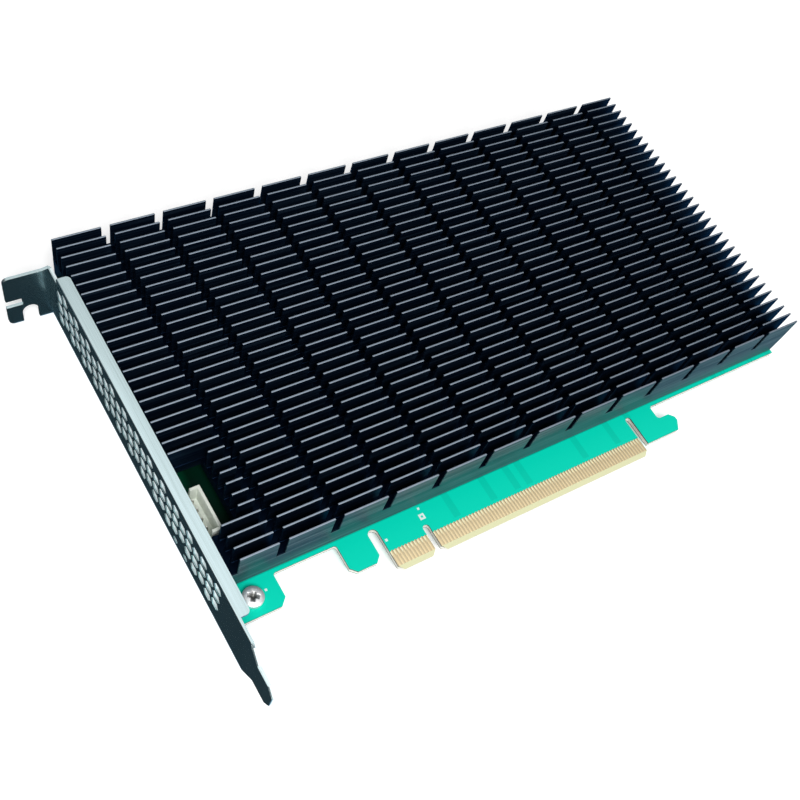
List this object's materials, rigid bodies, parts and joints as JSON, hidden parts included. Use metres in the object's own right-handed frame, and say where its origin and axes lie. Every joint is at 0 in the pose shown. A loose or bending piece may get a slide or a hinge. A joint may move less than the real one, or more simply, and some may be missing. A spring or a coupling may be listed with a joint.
{
  "type": "nvme adapter card",
  "caption": "Full-height x16 expansion card for NVMe drives, covered by a black cross-cut fin heatsink, with a vented steel bracket, gold edge contacts and a fan header.",
  "frame": {"origin": "middle of the key notch, at the lower edge of the edge connector tab, on the component face of the board", "axes": "+X along the card away from the bracket, +Y from the edge connector towards the opposite edge, +Z out of the component side, heatsink up"},
  "size_m": [0.2043, 0.1269, 0.0184],
  "materials": {
    "board": "solder resist over fibreglass, satin",
    "gold": "gold plated",
    "black_anodised": "black anodised, satin",
    "screw_steel": "nickel plated steel",
    "sheet_steel": "plated sheet steel, satin",
    "ivory_plastic": "natural nylon",
    "tin": "tinned",
    "black_plastic": "moulded",
    "post_brass": "turned",
    "soft_pad": "soft silicone",
    "chip_body": "laminate",
    "chip_lid": "matt nickel",
    "choke_body": "pressed ferrite",
    "lamp_lens": "clear resin"
  },
  "bodies": {
    "root": {"pcb": "board", "edge_contacts_top": "gold", "edge_contacts_bottom": "gold", "heatsink": "black_anodised", "heatsink_screws": "screw_steel", "bracket": "sheet_steel", "bracket_screws": "screw_steel", "fan_header_housing": "ivory_plastic", "fan_header_pins": "tin", "m2_socket_1": "black_plastic", "m2_socket_2": "black_plastic", "m2_socket_3": "black_plastic", "m2_socket_4": "black_plastic", "m2_standoffs": "post_brass", "m2_screws": "screw_steel", "thermal_pad_1": "soft_pad", "thermal_pad_2": "soft_pad", "thermal_pad_3": "soft_pad", "thermal_pad_4": "soft_pad", "bridge_chip": "chip_body", "bridge_chip_lid": "chip_lid", "bridge_thermal_pad": "soft_pad", "power_chokes": "choke_body", "regulator_chips": "black_plastic", "status_lamps": "lamp_lens"}
  },
  "joints": []
}
